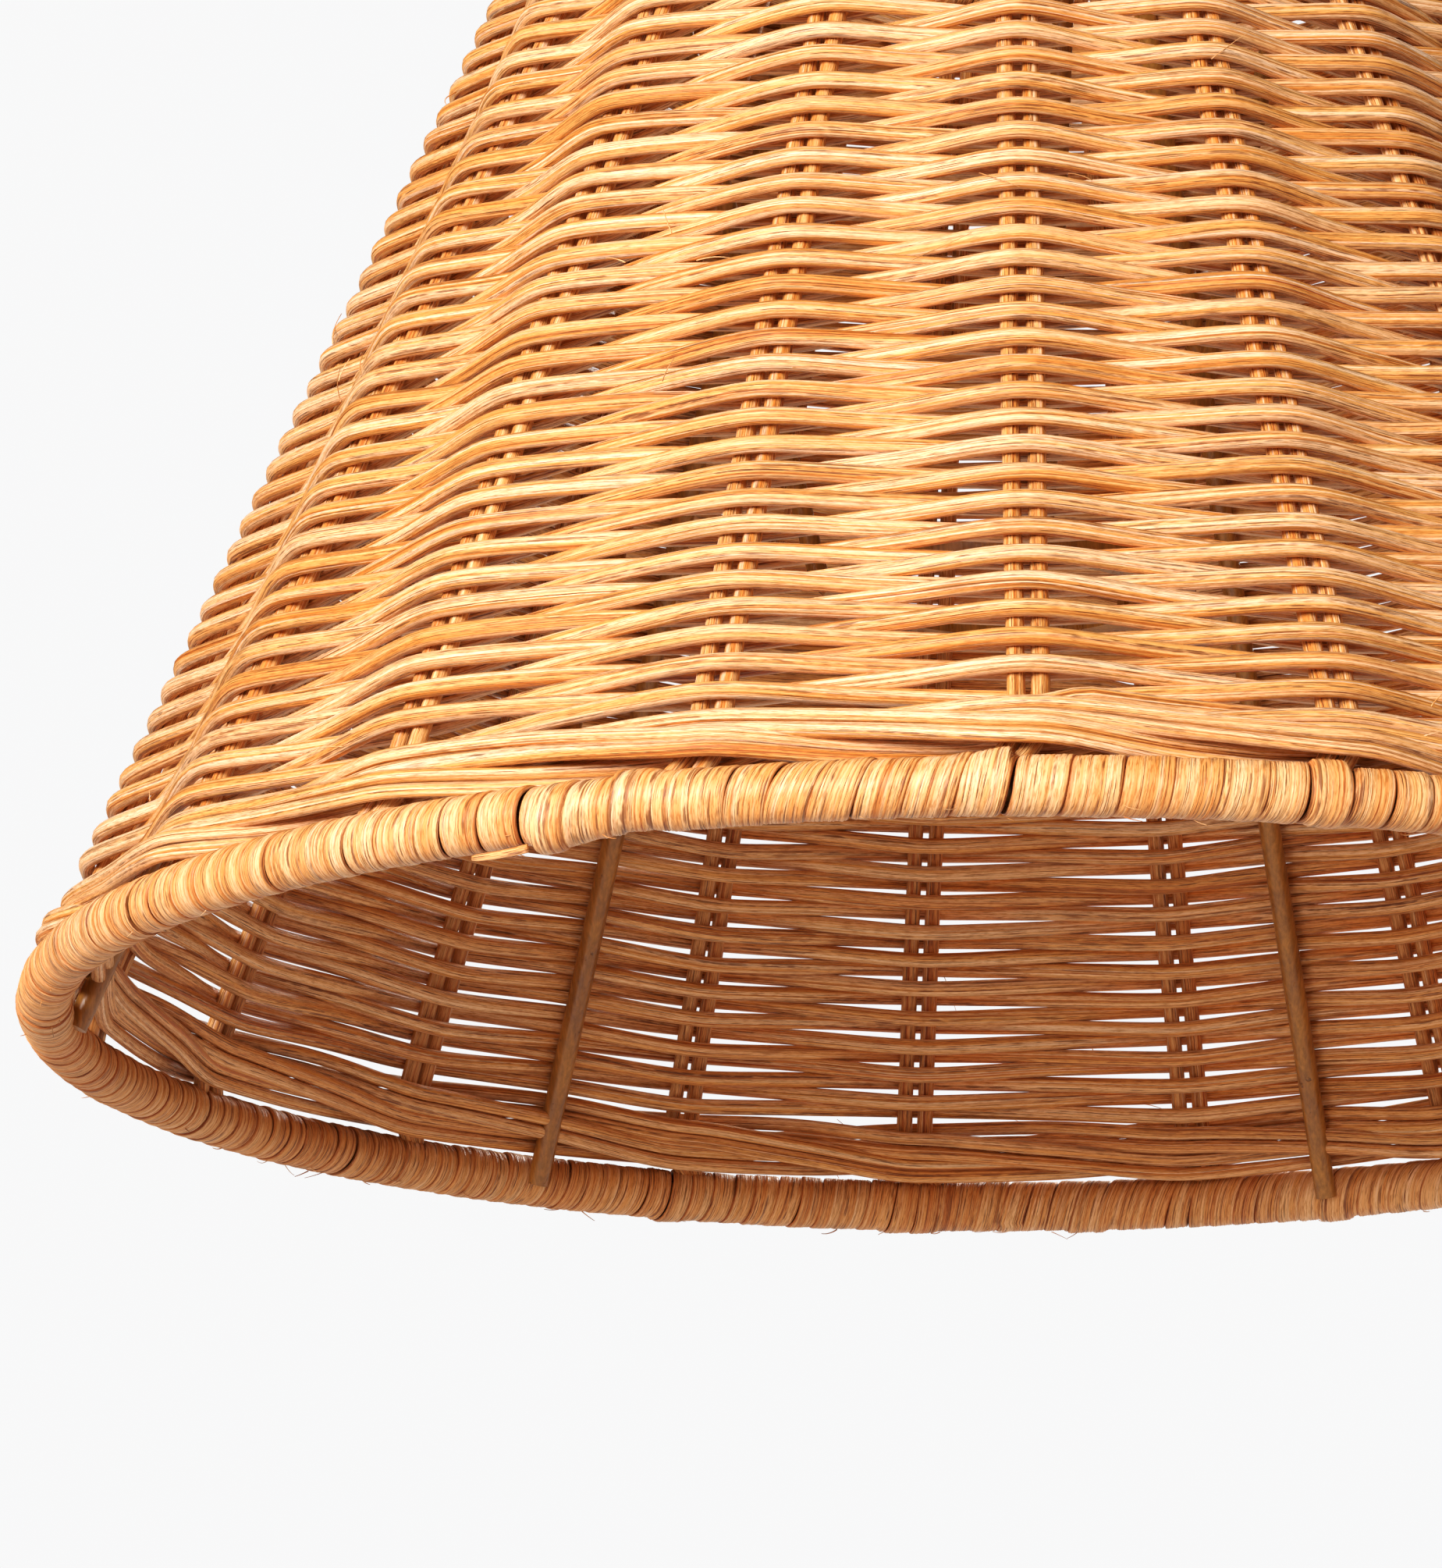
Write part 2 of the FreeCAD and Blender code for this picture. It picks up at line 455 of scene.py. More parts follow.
def weavers(material):
    """The body of the shade: one spiral of reed, in front of every other stake pair, row on row."""
    rng = np.random.default_rng(11)
    low, high = (corner[2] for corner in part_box("woven_wall"))
    rows = round((high - low) / ROW_PITCH)
    pitch = (high - low) / rows
    crossings = rows * COUNT
    stations = np.arange(crossings)
    heights = low + pitch * (0.5 + stations / COUNT * (rows - 1) / rows)
    heights += rng.normal(0, 0.13 * MM, crossings)
    sides = np.where(stations % 2 == 0, 1.0, -1.0)
    offsets = sides * (LACE_OFFSET + rng.normal(0, 0.08 * MM, crossings))
    lifts = rng.normal(0, 0.1 * MM, crossings)
    bulges = rng.normal(0, 0.08 * MM, crossings)
    cuts = np.linspace(0, crossings - 1, WEAVER_PIECES + 1).round().astype(int)
    cuts[1:-1] += (cuts[1:-1] + 1) % 2  # pieces meet behind a stake
    for number, (first, last) in enumerate(zip(cuts, cuts[1:]), 1):
        part = slice(first, last + 1)
        gaps = slice(first, last)
        path, normal = laced(stations[part], heights[part], offsets[part], lifts[gaps], bulges[gaps])
        path = tuck_ends(path, normal, 1.2 * MM, 9 * MM)
        reed = tube(path, normal, REED_RADIUS, rng, WEAVER_GRAIN_STEP * number)
        add_piece(f"weaver_{number:02d}", [reed], material, "woven_wall")


def wale(node, material, seed):
    """A course of four doubled strands, each in front of two stakes and behind the next two."""
    rng = np.random.default_rng(seed)
    radius, drop = WALE_REED_RADIUS[node], WALE_DROP[node]
    low, high = (corner[2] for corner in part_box(node))
    centre = (low + high) / 2
    bands = []
    stakes_passed = (COUNT + 2, COUNT + 2, COUNT + 2, COUNT - 2)  # so each ends where the next begins
    for strand, count in enumerate(stakes_passed):
        first = WALE_START + strand
        stations = np.arange(first, first + count)
        phase = (stations - first) % 4  # 0 behind and low, 1 behind and high, 2 and 3 in front
        heights = centre + np.choose(phase, [-drop, drop, drop, -drop])
        heights += rng.normal(0, 0.25 * MM, count)
        offsets = np.choose(phase, WALE_OFFSETS)
        leaving = phase[:-1]
        lifts = np.choose(leaving, [0.0, 0.35 * drop, 0.0, -0.35 * drop])
        bulges = np.choose(leaving, [-0.2 * MM, 0.0, 0.2 * MM, 0.0]) + rng.normal(0, 0.15 * MM, count - 1)
        path, normal = laced(stations, heights, offsets, lifts, bulges)
        path = tuck_ends(path, normal, 1.0 * MM, 12 * MM)
        across = -cross_axes(path, normal)[0]
        distance = lengths(path)
        apart = radius * (1.04 + 0.06 * wander(rng, distance, 50 * MM))[:, None]
        rock = 0.25 * MM * wander(rng, distance, 60 * MM)[:, None]
        for side in (-1, 1):
            reed = path + across * side * apart + normal * side * rock
            start = WALE_GRAIN_START + WALE_GRAIN_STEP * len(bands) + seed
            bands.append(tube(reed, normal, radius, rng, start))
    add_piece(f"{node}_reeds", bands, material, node)


def stake_reeds(material):
    """The upright pairs. Their feet lean over where they go into the wound rim."""
    rng = np.random.default_rng(5)
    share = np.linspace(0, 1, STAKE_STEPS)[:, None]
    for number, name in enumerate(STAKES, 1):
        foot, head = stake_ends[number - 1]
        angle = stake_angles[number - 1]
        sideways = round_from(angle)
        half_gap = np.abs((node_points(name) - foot)[:, :2] @ sideways[:2]).max() - REED_RADIUS
        normal = wall_normal(angle)
        bent = np.clip(1 - share * (head - foot)[2] / STAKE_LEAN_HEIGHT, 0, 1) ** 2
        bands = []
        for side in (-1, 1):
            lean = bent * rng.uniform(2.0, 4.5) * MM
            sway = 0.22 * MM * wander(rng, share[:, 0], 0.12)[:, None]
            drift = 0.12 * MM * wander(rng, share[:, 0], 0.15)[:, None]
            path = foot + (head - foot) * share + sideways * (side * half_gap + sway - lean)
            path = path + normal * drift
            facing = np.broadcast_to(normal, path.shape)
            start = STAKE_GRAIN_START + STAKE_GRAIN_STEP * number + side
            bands.append(tube(path, facing, REED_RADIUS, rng, start))
        add_piece(f"reed_pair_{number:02d}", bands, material, name)


# ---------------------------------------------------------------- the wound edges


def rim_width(angle):
    """The width of a turn: widest at the front right of the rim, narrowest opposite."""
    return (5.0 + 1.2 * math.cos(angle - math.radians(25))) * MM


def rim_lean(angle):
    """How far the top of a turn is ahead of its middle, along the edge.

    It is behind, and more so on the right, but just left of the front it is ahead.
    """
    from_front = degrees_from_front(angle)
    ahead = 0.95 * np.exp(-((from_front + 10) / 6) ** 2)
    return (-0.40 - 0.24 * np.tanh(from_front / 8) + ahead) * MM


def top_width(angle):
    """The width of a turn at the top, the same all round."""
    return TOP_WIDTH


def top_lean(angle):
    """The lean of a turn at the top, the same all round."""
    return TOP_LEAN


def paced_turns(rng, gaps, edge_radius, width_of):
    """How far along the edge each turn of the strip starts, and its width, fitted between the gaps."""
    seam = gaps[0][0]
    far_round = [math.radians((angle - seam) % 360) for angle, opening in gaps] + [TURN]
    openings = [opening * MM for angle, opening in gaps[1:] + gaps[:1]]
    starts, widths = [], []
    for begin, end, opening in zip(far_round, far_round[1:], openings):
        stretch = (end - begin) * edge_radius
        count = max(1, round(stretch / width_of(math.radians(seam) + (begin + end) / 2)))
        unevenness = 0.16 if count > 1 else 0.0
        shares = 1 + unevenness * rng.uniform(-1, 1, count)
        shares *= (stretch - opening) / shares.sum()
        starts.append(begin * edge_radius + np.concatenate([[0], np.cumsum(shares)[:-1]]))
        widths.append(shares)
    return np.concatenate(starts), np.concatenate(widths)


def per_turn(rng, time, turns):
    """A random run that has a new value, from -1 to 1, at each turn."""
    return np.interp(time, np.arange(turns + 2), rng.uniform(-1, 1, turns + 2))


def strip_depths(distance, fibre, seed):
    """The strip's ridges and grooves: a row for each step along it, a column for each line of fibre."""
    depth = np.empty((len(distance), len(fibre)))
    for column in range(len(fibre)):
        rng = np.random.default_rng(seed * 1000 + column // 3)
        ridge = 0.05 * MM * wander(rng, distance, 20 * MM)
        groove = 0.07 * MM if column % 3 == 0 else 0.0
        depth[:, column] = ridge - groove
    return depth - 0.34 * MM * np.abs(2 * fibre) ** 14  # the edges are rounded off


def winding(node, material, shaded_core_material, seed, joint, pieces, width_of, lean_of, swellings, gaps):
    """A flat cane strip wound round and round a core, each turn beside the last.

    A turn begins at the angle joint round the roll, where 0 is outward and a quarter turn is up. That
    is also where one piece of the strip ends and the next begins.
    """
    rng = np.random.default_rng(seed)
    low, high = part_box(node)
    section = (high.z - low.z) / 2
    centre_radius = high.x - section
    centre_height = (high.z + low.z) / 2

    # Time counts turns. The strip's middle goes round the roll and, slowly, along the edge.
    starts, widths = paced_turns(rng, gaps, centre_radius, width_of)
    turns = len(starts)
    time = np.arange(turns * STRIP_STEPS + 1) / STRIP_STEPS
    around = TURN * time + joint
    next_turns = np.arange(2)
    laps = np.append(starts, starts[next_turns] + TURN * centre_radius)
    widths = np.append(widths, widths[next_turns])
    along = np.interp(time + joint / TURN, np.arange(turns + 2), laps + widths / 2)
    place = along / centre_radius + math.radians(gaps[0][0])
    width = np.interp(time, np.arange(turns + 2), widths)
    lift = 0.10 * MM * per_turn(rng, time, turns)
    tilt = 0.10 * MM * per_turn(rng, time, turns) + 0.20 * MM
    sway = 0.35 * MM * per_turn(rng, time, turns)

    # Columns across the strip: three to each fibre, then three along the back.
    fibre = np.linspace(-0.5, 0.5, STRIP_FIBRES * 3 + 1)
    columns = np.concatenate([fibre, [0.42, 0.0, -0.42]])
    distance = time * TURN * section
    outside = strip_depths(distance, fibre, seed) + tilt[:, None] * fibre + lift[:, None]
    back = np.full((len(time), 3), -STRIP_THICKNESS)
    depth = np.concatenate([outside, back], 1)
    warp = 0.012 * np.sin(columns * 9.0)[None] * wander(rng, distance, 30 * MM)[:, None]
    spread = (columns[None] + warp) * (width[:, None] * STRIP_OVERLAP)
    leaning = (lean_of(place) + sway) * np.sin(around)

    angle = place[:, None] + (spread + leaning[:, None]) / centre_radius
    reach = section - 0.12 * MM + depth
    above = np.clip(np.sin(around), 0, 1)
    below = np.clip(-np.sin(around), 0, 1)
    for corners, upper, lower in swellings:
        rise = np.interp(degrees_from_front(angle), corners, [0, 1, 1, 0])
        reach += rise * (upper * above + lower * below)[:, None]
    outward = np.cos(around)[:, None, None] * out_from(angle) + np.sin(around)[:, None, None] * UP
    rings = out_from(angle) * centre_radius + UP * centre_height + outward * reach[..., None]
    run = np.broadcast_to(distance[:, None], spread.shape)
    grain = np.stack([run, np.broadcast_to(columns * GRAIN_WIDTH, spread.shape), depth], -1)

    core = wound_core(centre_radius, centre_height, section - CORE_INSET, rng)
    cuts = np.linspace(0, turns, pieces + 1).round().astype(int) * STRIP_STEPS
    for number, (first, last) in enumerate(zip(cuts, cuts[1:]), 1):
        part = slice(first, last + 1)
        strip = (rings[part, ::-1], grain[part, ::-1])
        add_piece(f"{node}_strip_{number}", [strip], material, node)
    # The core is drawn near-black, painted shade for the deep gaps between turns
    add_piece(f"{node}_core", [core], shaded_core_material, node)


def wound_core(centre_radius, centre_height, radius, rng):
    """The bundle of reed under the winding, seen only where two turns stand apart."""
    angle = np.linspace(0, TURN * 0.998, CORE_STEPS)
    path = out_from(angle) * centre_radius + UP * centre_height
    return tube(path, out_from(angle), radius, rng, CORE_GRAIN_START)


# ---------------------------------------------------------------- loose ends


def hair(start, heading, away, bend, length, rng, number):
    """One loose fibre, bowed, and lifted from the surface it grows out of."""
    share = np.linspace(0, 1, 9)[:, None]
    bow = rng.uniform(-0.25, 0.25)
    lifted = away * (rng.uniform(0.1, 0.35) * length) * share * (1.4 - share)
    path = start + heading * length * share + bend * length * bow * share**2 + lifted
    radius = rng.uniform(0.06, 0.12) * MM
    side, up = cross_axes(path, np.broadcast_to(away, path.shape))
    around = np.linspace(0, TURN, 5, endpoint=False)
    taper = np.linspace(1, 0.45, len(path))[:, None, None] * radius
    across = np.cos(around)[None, :, None] * up[:, None] + np.sin(around)[None, :, None] * side[:, None]
    run = lengths(path)[:, None] + number * HAIR_GRAIN_STEP
    grain = np.stack(
        np.broadcast_arrays(run, np.cos(around)[None] * radius, np.sin(around)[None] * radius), -1
    )
    return path[:, None] + across * taper, grain


def hairs(material):
    """Fine fibres that have lifted off the reeds, and short ones off the underside of the wound rim."""
    rng = np.random.default_rng(23)
    bands = []
    low, high = cad_low.z + 12 * MM, cad_high.z - 12 * MM
    for number in range(WALL_HAIRS):
        angle = rng.uniform(0, TURN)
        height = low + (high - low) * rng.uniform(0, 1) ** 1.4
        start = wall_point(angle, height, 3.1 * MM)
        slant = rng.uniform(-1.2, 1.2)
        climb = UP * math.cos(TILT) - out_from(angle) * math.sin(TILT)
        heading = round_from(angle) * math.cos(slant) * rng.choice([-1, 1]) + climb * math.sin(slant)
        length = rng.uniform(3, 9) * MM
        bands.append(hair(start, heading, wall_normal(angle), climb, length, rng, number))

    low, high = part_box("bottom_binding")
    section = (high.z - low.z) / 2
    for number in range(WALL_HAIRS, WALL_HAIRS + RIM_HAIRS):
        angle = rng.uniform(0, TURN)
        under = math.radians(rng.uniform(-125, -35))
        away = out_from(angle) * math.cos(under) + UP * math.sin(under)
        start = out_from(angle) * (high.x - section) + UP * (low.z + section) + away * section
        heading = unit(round_from(angle) * rng.choice([-1, 1]) + away * rng.uniform(0.0, 0.5))
        bands.append(hair(start, heading, away, away, rng.uniform(1, 3.5) * MM, rng, number))
    add_piece("loose_fibres", bands, material)


def strip_end(material):
    """The cane's cut end, which sticks out from under the wound rim."""
    low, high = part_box("bottom_binding")
    outward = out_from(STRIP_END_ANGLE)
    radius = high.x - (high.z - low.z) / 2 + 1.0 * MM
    start = outward * radius + UP * (low.z - 0.4 * MM)
    heading = unit(-round_from(STRIP_END_ANGLE) + UP * -0.16 + outward * 0.10)
    share = np.linspace(0, 1, 14)[:, None]
    path = start + heading * STRIP_END_LENGTH * share + UP * 0.7 * MM * share**2
    side, up = cross_axes(path, outward)
    section = np.array(
        [(-1, -0.25), (-0.5, -0.4), (0.5, -0.4), (1, -0.25), (1, 0.2), (0.4, 0.45), (-0.4, 0.45), (-1, 0.2)]
    )
    taper = np.interp(share[:, 0], [0, 0.9, 1], [1, 0.85, 0.55])[:, None, None]
    across = section[None, :, :1] * side[:, None] + section[None, :, 1:] * up[:, None]
    rings = path[:, None] + across * taper * STRIP_END_HALF_WIDTH
    run = lengths(path)[:, None] + STRIP_END_GRAIN_START
    grain = np.stack(
        np.broadcast_arrays(run, section[None, :, 0] * 0.8 * MM, section[None, :, 1] * 0.8 * MM), -1
    )
    add_piece("strip_end", [(rings[:, ::-1], grain[:, ::-1])], material)


# ---------------------------------------------------------------- materials


class Nodes:
    """A short way to write a material's node tree."""

    def __init__(self, name):
        self.material = bpy.data.materials.new(name)
        self.material.use_nodes = True
        self.tree = self.material.node_tree
        self.shader = self.tree.nodes["Principled BSDF"]

    def add(self, kind, **settings):
        node = self.tree.nodes.new(kind)
        for key, value in settings.items():
            setattr(node, key, value)
        return node

    def feed(self, socket, value):
        """Links or sets an input: value is another node's output, a colour or a number."""
        if isinstance(value, bpy.types.NodeSocket):
            self.tree.links.new(value, socket)
        elif isinstance(value, tuple) and socket.type == "RGBA":
            socket.default_value = (*value, 1.0)
        else:
            socket.default_value = value

    def noise(self, vector, scale, detail, roughness):
        """Noise stretched along the grain: scale is its waves per metre along and across."""
        stretched = self.add("ShaderNodeVectorMath", operation="MULTIPLY")
        self.feed(stretched.inputs[0], vector)
        self.feed(stretched.inputs[1], scale)
        node = self.add("ShaderNodeTexNoise")
        self.feed(node.inputs["Vector"], stretched.outputs[0])
        node.inputs["Scale"].default_value = 1.0
        node.inputs["Detail"].default_value = detail
        node.inputs["Roughness"].default_value = roughness
        return node.outputs["Fac"]

    def ramp(self, source, stops):
        """Colours, or greys given as one number, that change with the source between the stops."""
        node = self.add("ShaderNodeValToRGB")
        elements = node.color_ramp.elements
        while len(elements) < len(stops):
            elements.new(1.0)
        for element, (place, colour) in zip(elements, stops):
            element.position = place
            element.color = (*colour, 1.0) if isinstance(colour, tuple) else (colour, colour, colour, 1.0)
        self.feed(node.inputs["Fac"], source)
        return node.outputs["Color"]

    def mixed(self, factor, first, second, blend="MIX"):
        """Two colours mixed. The node has sockets of the same names for other kinds of value."""
        node = self.add("ShaderNodeMix", data_type="RGBA", blend_type=blend)
        first_socket, second_socket = (socket for socket in node.inputs if socket.type == "RGBA")
        share = next(s for s in node.inputs if s.name == "Factor" and s.type == "VALUE")
        for socket, value in ((share, factor), (first_socket, first), (second_socket, second)):
            self.feed(socket, value)
        return next(socket for socket in node.outputs if socket.type == "RGBA")

    def tinted(self, base, source, stops):
        """The base colour multiplied by a ramp of the source."""
        return self.mixed(1.0, base, self.ramp(source, stops), "MULTIPLY")

    def maths(self, operation, first, second):
        node = self.add("ShaderNodeMath", operation=operation)
        for socket, value in zip(node.inputs, (first, second)):
            self.feed(socket, value)
        return node.outputs[0]

    def finish(self, colour, roughness, height, bump_distance, bump_strength):
        self.feed(self.shader.inputs["Base Color"], colour)
        self.feed(self.shader.inputs["Roughness"], roughness)
        bump = self.add("ShaderNodeBump")
        bump.inputs["Distance"].default_value = bump_distance
        bump.inputs["Strength"].default_value = bump_strength
        self.feed(bump.inputs["Height"], height)
        self.feed(self.shader.inputs["Normal"], bump.outputs["Normal"])
        return self.material


def grained(name, light, middle, dark, pore, tones, bands, fibre, sheen_strength=0.85, stain_and_shade_edge=None):
    """Rattan, with its marks laid over one another in the order below.

    Tones, bands and fibre are the waves per metre of the slow changes of tone along the piece, of the
    bands round it and of its fibres. The argument after fibre is how much the palest fibres show; these
    streaks are partly pale fibre and partly a painted sheen, a highlight laid along the reed. The last
    argument is the distance from the middle of a flat strip to its darker edges, which are partly stains
    and partly painted shade where the turns of the strip meet.
    """
    nodes = Nodes(name)
    grain = nodes.add("ShaderNodeAttribute", attribute_name="grain").outputs["Vector"]

    def noise(along, across, detail, roughness):
        return nodes.noise(grain, (along, across, across), detail, roughness)

    # Bands of colour, and a tone that drifts along the piece
    base = nodes.ramp(noise(6, bands, 3, 0.6), [(0.33, dark), (0.45, middle), (0.58, light)])
    drift = [(0.34, (0.91, 0.75, 0.54)), (0.50, (1.0, 0.97, 0.93)), (0.64, WHITE)]
    base = nodes.tinted(base, noise(tones, 60, 3, 0.6), drift)

    # Long fibres; the palest streaks are partly pale fibre and partly painted sheen, a stand-in highlight
    fibres = noise(12, fibre, 3, 0.65)
    base = nodes.tinted(base, fibres, [(0.35, (0.60, 0.36, 0.17)), (0.47, (0.95, 0.90, 0.83)), (0.60, WHITE)])
    pale_fibre_sheen = nodes.ramp(noise(5, 0.62 * fibre, 1, 0.4), [(0.60, 0.0), (0.66, sheen_strength)])
    base = nodes.mixed(pale_fibre_sheen, base, (1.0, 0.77, 0.56))

    # Fine mottling
    mottle = [(0.37, (0.70, 0.54, 0.38)), (0.50, (0.98, 0.95, 0.91)), (0.62, WHITE)]
    base = nodes.tinted(base, noise(520, 2.4 * fibre, 2, 0.65), mottle)

    # Pores: thin dark lines along the grain, broken into dashes
    lines = noise(8, 0.8 * fibre, 1, 0.4)
    thin = nodes.ramp(lines, [(0.500, 0.0), (0.525, 1.0), (0.545, 1.0), (0.575, 0.0)])
    dashes = nodes.ramp(noise(260, 0.5 * fibre, 2, 0.6), [(0.42, 0.10), (0.58, 1.0)])
    pores = nodes.maths("MULTIPLY", thin, dashes)
    base = nodes.mixed(nodes.maths("MULTIPLY", pores, 0.85), base, pore)

    # Stains, and a few long dark streaks
    stain = nodes.ramp(noise(70, 500, 3, 0.7), [(0.60, 0.0), (0.74, 0.6)])
    base = nodes.mixed(stain, base, tuple(0.6 * channel for channel in dark))
    streak = nodes.ramp(noise(9, 0.4 * fibre, 1, 0.4), [(0.70, 0.0), (0.74, 0.8)])
    base = nodes.mixed(nodes.maths("MULTIPLY", streak, dashes), base, pore)

    # Darker edges on each turn of the strip: partly stains, partly painted shade in the grooves where turns
    # meet
    if stain_and_shade_edge:
        across = nodes.add("ShaderNodeSeparateXYZ")
        nodes.feed(across.inputs[0], grain)
        reach = nodes.maths("DIVIDE", nodes.maths("ABSOLUTE", across.outputs["Y"], 0.0), stain_and_shade_edge)
        base = nodes.tinted(base, reach, [(0.84, WHITE), (1.0, (0.66, 0.45, 0.30))])

    rough = nodes.ramp(fibres, [(0.3, 0.60), (0.7, 0.38)])
    height = nodes.maths("SUBTRACT", fibres, nodes.maths("MULTIPLY", pores, 0.7))
    return nodes.finish(base, rough, height, 0.18 * MM, 0.9)


def painted_wire(name, light, dark, worn):
    """Brushed varnish over steel wire: runs, small chips, dust and a soft gloss."""
    nodes = Nodes(name)
    place = nodes.add("ShaderNodeTexCoord").outputs["Object"]
    runs = nodes.noise(place, (260, 260, 40), 4, 0.6)
    dust = nodes.noise(place, (1800, 1800, 300), 3, 0.6)
    chips = nodes.ramp(nodes.noise(place, (420, 420, 420), 4, 0.65), [(0.66, 0.0), (0.70, 1.0)])
    base = nodes.ramp(runs, [(0.35, dark), (0.65, light)])
    base = nodes.tinted(base, dust, [(0.35, 0.75), (0.65, 1.15)])
    base = nodes.mixed(nodes.maths("MULTIPLY", chips, 0.7), base, worn)
    rough = nodes.ramp(runs, [(0.3, 0.22), (0.7, 0.42)])
    return nodes.finish(base, rough, nodes.maths("SUBTRACT", dust, chips), 0.10 * MM, 0.6)


# ---------------------------------------------------------------- the room


def room_light():
    """Dim warm light all round, stronger from below, with a plain pale background behind the shade."""
    world = bpy.data.worlds.new("room")
    bpy.context.scene.world = world
    world.use_nodes = True
    nodes, links = world.node_tree.nodes, world.node_tree.links
    direction = nodes.new("ShaderNodeTexCoord")
    split = nodes.new("ShaderNodeSeparateXYZ")
    links.new(direction.outputs["Generated"], split.inputs[0])
    raised = nodes.new("ShaderNodeMapRange")
    raised.inputs["From Min"].default_value = -1.0
    links.new(split.outputs["Z"], raised.inputs["Value"])
    shade = nodes.new("ShaderNodeValToRGB")
    for element, place, colour in zip(
        shade.color_ramp.elements, (0.35, 0.75), (LIGHT_FROM_BELOW, LIGHT_FROM_ABOVE)
    ):
        element.position = place
        element.color = colour
    links.new(raised.outputs["Result"], shade.inputs["Fac"])
    ambient = nodes["Background"]
    links.new(shade.outputs["Color"], ambient.inputs["Color"])
    seen = nodes.new("ShaderNodeBackground")
    seen.inputs["Color"].default_value = BACKGROUND
    rays = nodes.new("ShaderNodeLightPath")
    choose = nodes.new("ShaderNodeMixShader")
    links.new(rays.outputs["Is Camera Ray"], choose.inputs[0])
    links.new(ambient.outputs[0], choose.inputs[1])
    links.new(seen.outputs[0], choose.inputs[2])
    links.new(choose.outputs[0], nodes["World Output"].inputs["Surface"])


def pale_floor():
    """A plain floor, well below the hanging shade."""
    half = FLOOR_HALF_SIZE
    corners = [(-half, -half, 0), (half, -half, 0), (half, half, 0), (-half, half, 0)]
    mesh = bpy.data.meshes.new("floor")
    mesh.from_pydata(corners, [], [(0, 1, 2, 3)])
    floor = bpy.data.objects.new("floor", mesh)
    bpy.context.scene.collection.objects.link(floor)
    floor.location.z = FLOOR_HEIGHT
    nodes = Nodes("pale_floor")
    nodes.feed(nodes.shader.inputs["Base Color"], (0.30, 0.30, 0.30))
    nodes.feed(nodes.shader.inputs["Roughness"], 0.9)
    nodes.feed(nodes.shader.inputs["Emission Color"], WHITE)
    nodes.feed(nodes.shader.inputs["Emission Strength"], 0.80)
    mesh.materials.append(nodes.material)
    floor.visible_diffuse = False  # keeps the inside of the shade as dim as in a deep room


def soft_light(name, offset, size, power, colour):
    """A round lamp at an offset from the middle of the shade, shining on it."""
    target = (cad_low + cad_high) / 2
    data = bpy.data.lights.new(name, "AREA")
    data.shape = "DISK"
    data.size = size
    data.energy = power
    data.color = colour
    light = bpy.data.objects.new(name, data)
    light.location = target + Vector(offset)
    light.rotation_mode = "QUATERNION"
    light.rotation_quaternion = (-Vector(offset)).to_track_quat("-Z", "Y")
    bpy.context.scene.collection.objects.link(light)


def camera():
    azimuth, elevation, roll = map(math.radians, (CAMERA_AZIMUTH, CAMERA_ELEVATION, CAMERA_ROLL))
    level = math.cos(elevation)
    ahead = Vector((math.cos(azimuth) * level, math.sin(azimuth) * level, math.sin(elevation)))
    right = ahead.cross(Vector((0, 0, 1))).normalized()
    up = right.cross(ahead)
    right, up = right * math.cos(roll) + up * math.sin(roll), up * math.cos(roll) - right * math.sin(roll)
    data = bpy.data.cameras.new("camera")
    data.lens = CAMERA_LENS
    data.sensor_width = SENSOR_WIDTH
    eye = bpy.data.objects.new("camera", data)
    turned = Matrix((right, up, -ahead)).transposed().to_4x4()
    eye.matrix_world = Matrix.Translation(CAMERA_PLACE) @ turned
    bpy.context.scene.collection.objects.link(eye)
    bpy.context.scene.camera = eye


def tone_curve():
    view = bpy.context.scene.view_settings
    view.view_transform = "Standard"
    view.use_curve_mapping = True
    combined = view.curve_mapping.curves[3]
    for point in SHADOW_CURVE:
        combined.points.new(*point)
    view.curve_mapping.update()


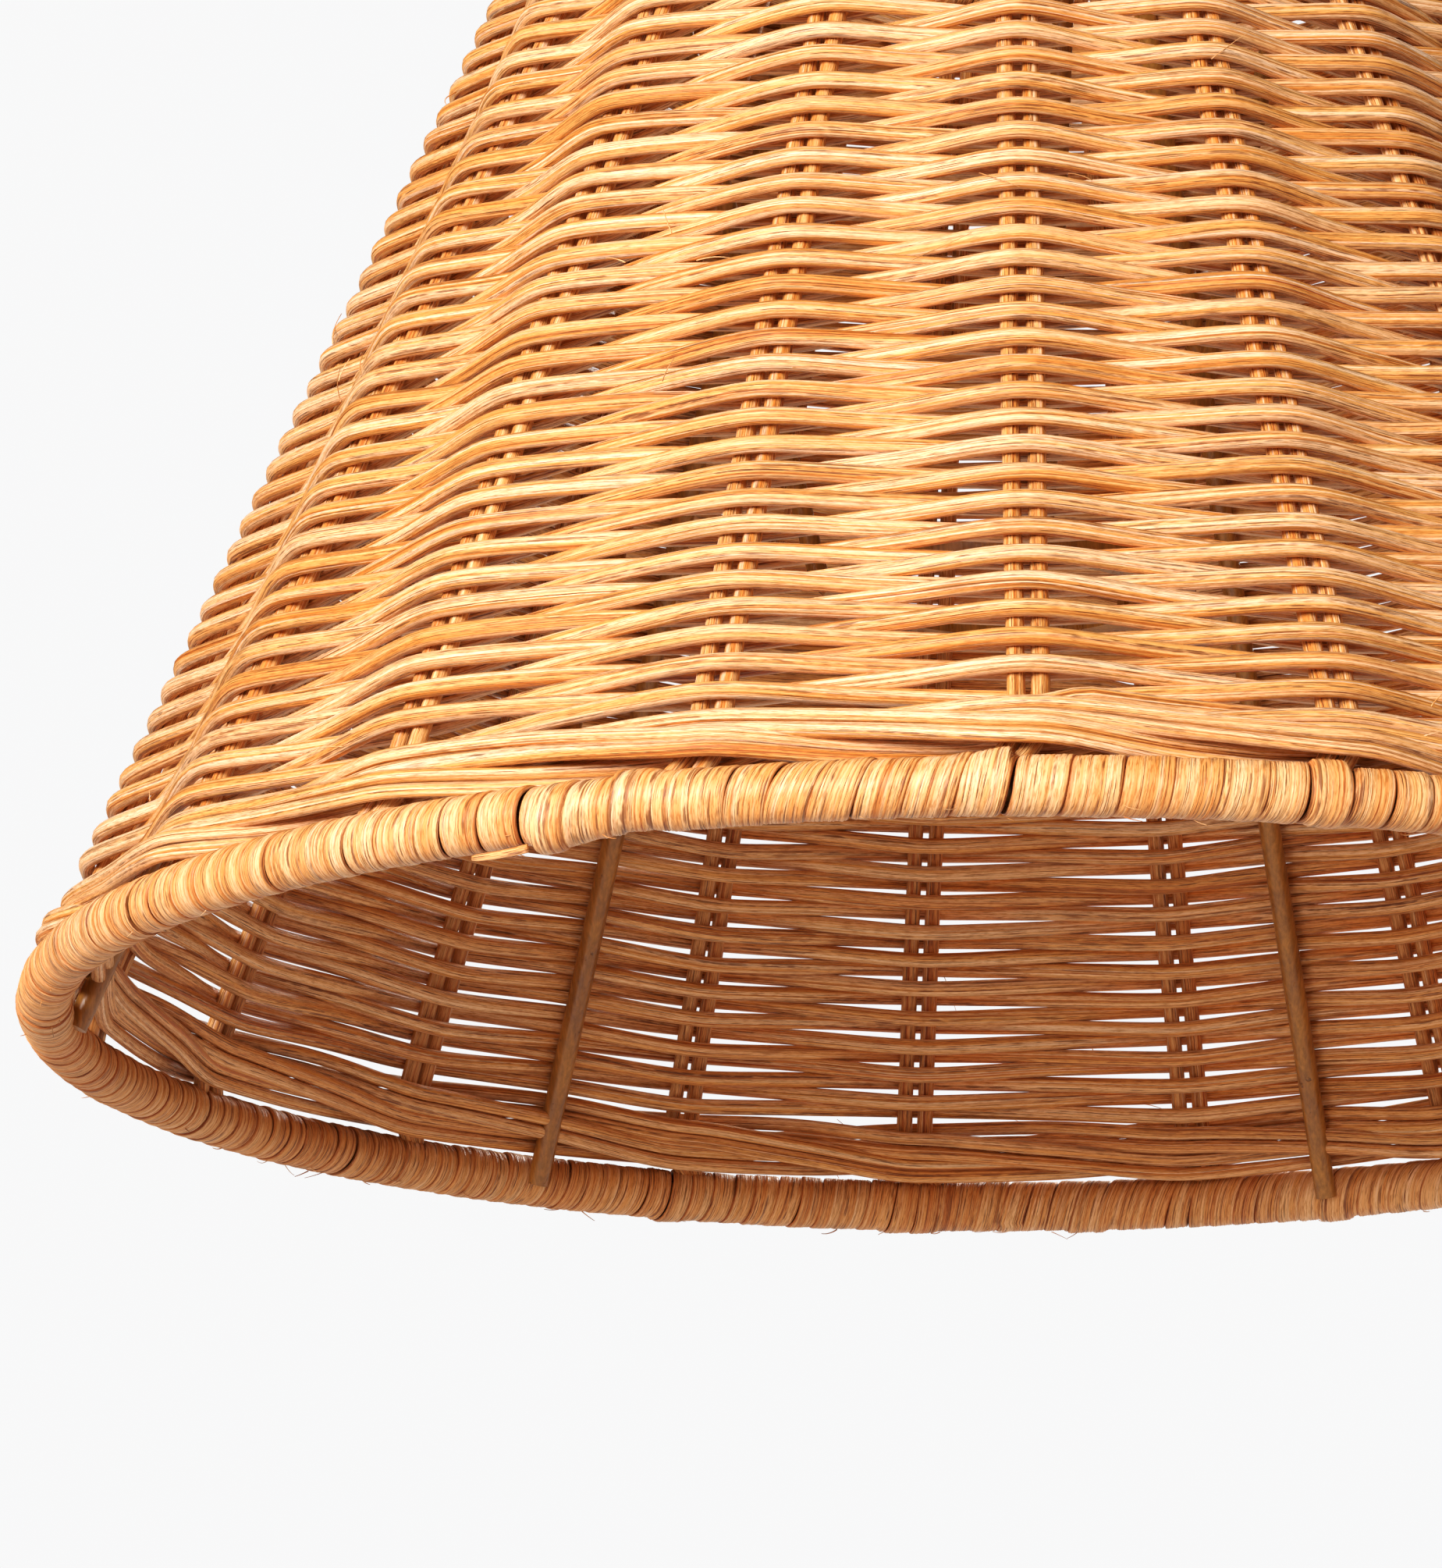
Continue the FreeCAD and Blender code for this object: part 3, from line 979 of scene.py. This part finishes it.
# ---------------------------------------------------------------- the shade

reed_skin = grained("rattan_reed", STRAW, HONEY, AMBER, BARK, 4.0, 1000, 3600, sheen_strength=0.7)
stake_skin = grained(
    "rattan_stake", (0.86, 0.54, 0.25), (0.75, 0.37, 0.11), AMBER, BARK, 6.0, 1300, 3400, sheen_strength=0.5
)
strip_skin = grained(
    "cane_strip", (0.93, 0.62, 0.35), (0.86, 0.48, 0.19), (0.74, 0.34, 0.105), BARK, 9.0, 500, 2100,
    sheen_strength=0.3, stain_and_shade_edge=GRAIN_WIDTH / 2,
)
# The core's near-black colours are painted shade, so the gaps between turns of the winding look deep
shaded_core_skin = grained(
    "rattan_core_painted_shade", (0.22, 0.09, 0.03), (0.14, 0.05, 0.016), (0.09, 0.03, 0.010), (0.04, 0.012, 0.004),
    6.0, 1000, 3000, sheen_strength=0.0,
)
frame_varnish = painted_wire(
    "frame_varnish", (0.48, 0.235, 0.052), (0.31, 0.135, 0.027), worn=(0.11, 0.05, 0.016)
)

weavers(reed_skin)
wale("bottom_wale", reed_skin, 31)
wale("top_wale", reed_skin, 37)
stake_reeds(stake_skin)
winding(
    "bottom_binding", strip_skin, shaded_core_skin, seed=41, joint=TURN / 4, pieces=4,
    width_of=rim_width, lean_of=rim_lean, swellings=RIM_SWELLINGS, gaps=RIM_GAPS,
)
winding(
    "top_binding", strip_skin, shaded_core_skin, seed=43, joint=TURN * 3 / 4, pieces=2,
    width_of=top_width, lean_of=top_lean, swellings=[], gaps=TOP_GAPS,
)
strip_end(strip_skin)
hairs(strip_skin)

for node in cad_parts.values():
    if not node.hide_render:
        node.data.materials.clear()
        node.data.materials.append(frame_varnish)

room_light()
pale_floor()
soft_light("key", (-0.82, -1.50, 0.22), 0.8, 48.5, (1.0, 0.955, 0.955))
soft_light("fill", (0.9, -1.2, 0.5), 0.7, 2.0, (1.0, 0.96, 0.92))
soft_light("back", (0.8, 1.5, 0.9), 0.9, 34.0, (1.0, 0.97, 0.92))
camera()
tone_curve()
